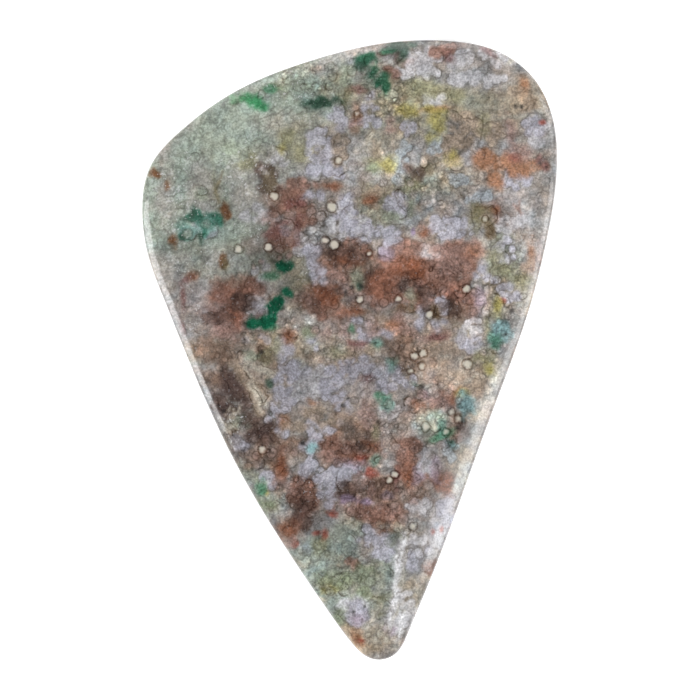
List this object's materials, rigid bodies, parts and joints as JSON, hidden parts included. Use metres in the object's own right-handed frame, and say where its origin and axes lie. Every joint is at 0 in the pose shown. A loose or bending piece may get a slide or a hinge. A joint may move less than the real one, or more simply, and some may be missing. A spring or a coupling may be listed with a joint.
{
  "type": "opalized wood cabochon",
  "caption": "Freeform polished stone cabochon with a flat back and a low domed face, broad and rounded at the top and tapering to a blunt point.",
  "frame": {"origin": "middle of the stone's bounding box, on the plane of its flat back", "axes": "+Z out of the domed face, +Y along the stone from the pointed end to the broad end, +X to the right as the face is seen with the point down"},
  "size_m": [0.0301, 0.045, 0.0047],
  "materials": {
    "polished_stone": "high polish over mottled lavender-grey, red-brown, olive and green silica"
  },
  "bodies": {
    "root": {"cabochon": "polished_stone"}
  },
  "joints": []
}
